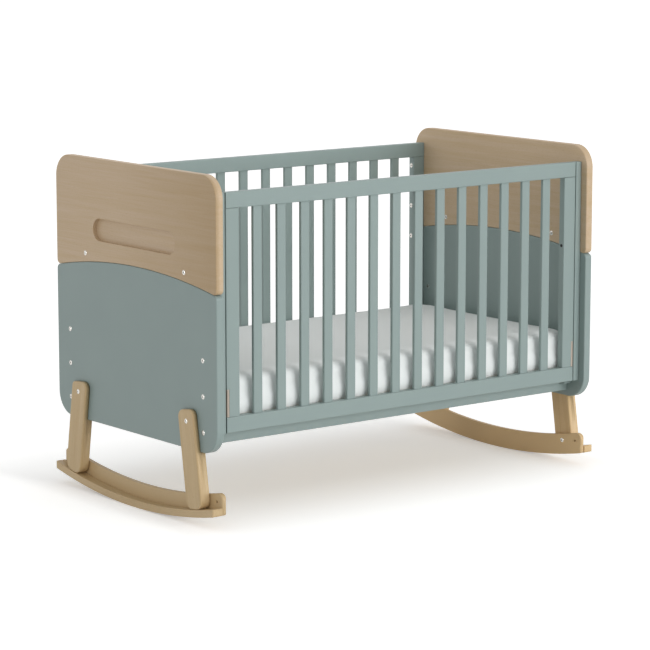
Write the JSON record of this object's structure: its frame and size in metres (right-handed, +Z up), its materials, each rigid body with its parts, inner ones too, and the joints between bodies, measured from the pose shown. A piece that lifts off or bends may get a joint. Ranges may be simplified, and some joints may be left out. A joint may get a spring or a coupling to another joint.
{
  "type": "rocking cot bed",
  "caption": "Rocking cot bed: painted slatted sides, panelled ends with beech tops and splayed legs on curved rockers, drop side, adjustable base and mattress.",
  "frame": {"origin": "on the floor below the middle of the cot", "axes": "+X along the cot from the head end to the foot end, +Y across it from the drop side to the fixed side, +Z up"},
  "size_m": [1.4096, 0.8, 0.973],
  "materials": {
    "beech": "solid beech, clear satin lacquer",
    "sage_paint": "beech and fibreboard in opaque satin grey-green paint",
    "birch_plywood": "bare sanded birch plywood",
    "nylon": "moulded nylon, satin",
    "mattress_cover": "white knitted cotton cover"
  },
  "bodies": {
    "cot_frame": {"head_board": "beech", "head_panel": "sage_paint", "head_rocker_web": "beech", "head_rocker_ledge": "beech", "head_front_leg": "beech", "head_back_leg": "beech", "head_side_track": "sage_paint", "head_side_runner": "nylon", "foot_board": "beech", "foot_panel": "sage_paint", "foot_rocker_web": "beech", "foot_rocker_ledge": "beech", "foot_front_leg": "beech", "foot_back_leg": "beech", "foot_side_track": "sage_paint", "foot_side_runner": "nylon", "back_bottom_rail": "sage_paint", "back_top_rail": "sage_paint", "back_head_stile": "sage_paint", "back_foot_stile": "sage_paint", "back_slat_01": "sage_paint", "back_slat_02": "sage_paint", "back_slat_03": "sage_paint", "back_slat_04": "sage_paint", "back_slat_05": "sage_paint", "back_slat_06": "sage_paint", "back_slat_07": "sage_paint", "back_slat_08": "sage_paint", "back_slat_09": "sage_paint", "back_slat_10": "sage_paint", "back_slat_11": "sage_paint", "back_slat_12": "sage_paint", "back_slat_13": "sage_paint", "back_slat_14": "sage_paint"},
    "drop_side": {"front_bottom_rail": "sage_paint", "front_top_rail": "sage_paint", "front_head_stile": "sage_paint", "front_foot_stile": "sage_paint", "front_slat_01": "sage_paint", "front_slat_02": "sage_paint", "front_slat_03": "sage_paint", "front_slat_04": "sage_paint", "front_slat_05": "sage_paint", "front_slat_06": "sage_paint", "front_slat_07": "sage_paint", "front_slat_08": "sage_paint", "front_slat_09": "sage_paint", "front_slat_10": "sage_paint", "front_slat_11": "sage_paint", "front_slat_12": "sage_paint", "front_slat_13": "sage_paint", "front_slat_14": "sage_paint", "head_guide_block": "beech", "foot_guide_block": "beech"},
    "mattress_base": {"base_front_rail": "sage_paint", "base_back_rail": "sage_paint", "base_head_rail": "sage_paint", "base_foot_rail": "sage_paint", "base_deck": "birch_plywood"},
    "mattress": {"mattress": "mattress_cover"}
  },
  "joints": [
    {"name": "drop_side_slide", "type": "slide", "parent": "cot_frame", "child": "drop_side", "axis": [0, 0, 1], "range_m": [-0.19, 0]},
    {"name": "base_height", "type": "slide", "parent": "cot_frame", "child": "mattress_base", "axis": [0, 0, 1], "range_m": [0, 0.2]},
    {"name": "mattress_lift", "type": "slide", "parent": "mattress_base", "child": "mattress", "axis": [0, 0, 1], "range_m": [0, 0.63]}
  ]
}
